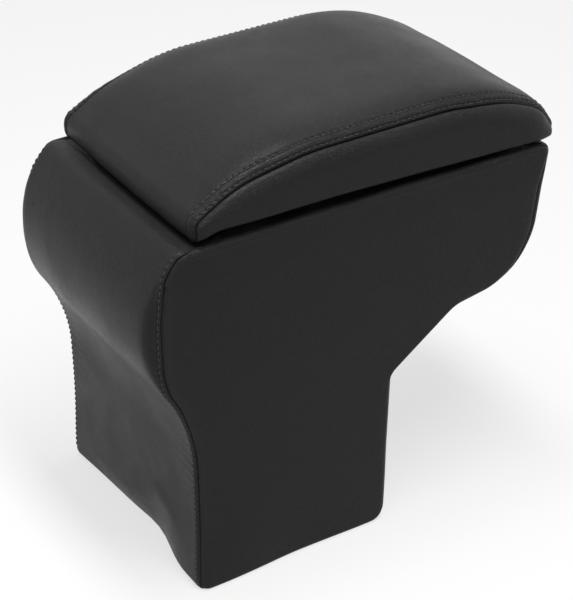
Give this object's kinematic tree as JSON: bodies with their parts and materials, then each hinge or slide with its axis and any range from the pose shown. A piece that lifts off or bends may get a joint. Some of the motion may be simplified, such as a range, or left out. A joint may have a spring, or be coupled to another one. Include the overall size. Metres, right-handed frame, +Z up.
{
  "type": "car centre armrest",
  "caption": "Car centre armrest: padded box on a narrow foot, covered in black leatherette, with a hinged crowned lid over a felt-lined storage space.",
  "frame": {"origin": "centre of the foot's base, in the middle of the four base bolts", "axes": "+X to the front of the car, +Y to its left, +Z up; the armrest stands on its foot"},
  "size_m": [0.2804, 0.169, 0.2749],
  "materials": {
    "leatherette": "satin black leatherette with a fine grain",
    "foam": "open-cell foam, matte",
    "plywood": "bare plywood, sanded",
    "felt": "black needle felt",
    "zinc_steel": "zinc plated",
    "black_steel": "black powder coat",
    "black_plastic": "matte",
    "magnet": "sintered ferrite",
    "rubber": "matte black rubber"
  },
  "bodies": {
    "box": {"side_board_left": "plywood", "side_board_right": "plywood", "rear_board": "plywood", "front_board": "plywood", "hinge_rail": "plywood", "catch_rail": "plywood", "compartment_rear_wall": "plywood", "compartment_front_wall": "plywood", "compartment_floor": "plywood", "base_board": "plywood", "corner_battens": "plywood", "tee_nuts": "zinc_steel", "assembly_screws": "zinc_steel", "rear_foam": "foam", "front_foam": "foam", "side_foam_left": "foam", "side_foam_right": "foam", "rear_cover": "leatherette", "front_cover": "leatherette", "side_cover_left": "leatherette", "side_cover_right": "leatherette", "lining_floor": "felt", "lining_walls": "felt", "hinge_body_leaf": "black_steel", "hinge_pin": "zinc_steel", "hinge_body_screws": "zinc_steel", "catch_housing": "black_plastic", "catch_magnet": "magnet", "catch_screws": "zinc_steel"},
    "lid": {"lid_board": "plywood", "lid_foam": "foam", "lid_top_cover": "leatherette", "lid_side_cover_left": "leatherette", "lid_side_cover_right": "leatherette", "lid_lining": "felt", "lid_buffers": "rubber", "hinge_lid_leaf": "black_steel", "hinge_lid_screws": "zinc_steel", "strike_plate": "zinc_steel", "strike_screws": "zinc_steel"}
  },
  "joints": [
    {"name": "lid_hinge", "type": "hinge", "parent": "box", "child": "lid", "pos_m": [-0.05554, 0, 0.2351], "axis": [0, -1, 0], "range_deg": [0, 90]}
  ]
}
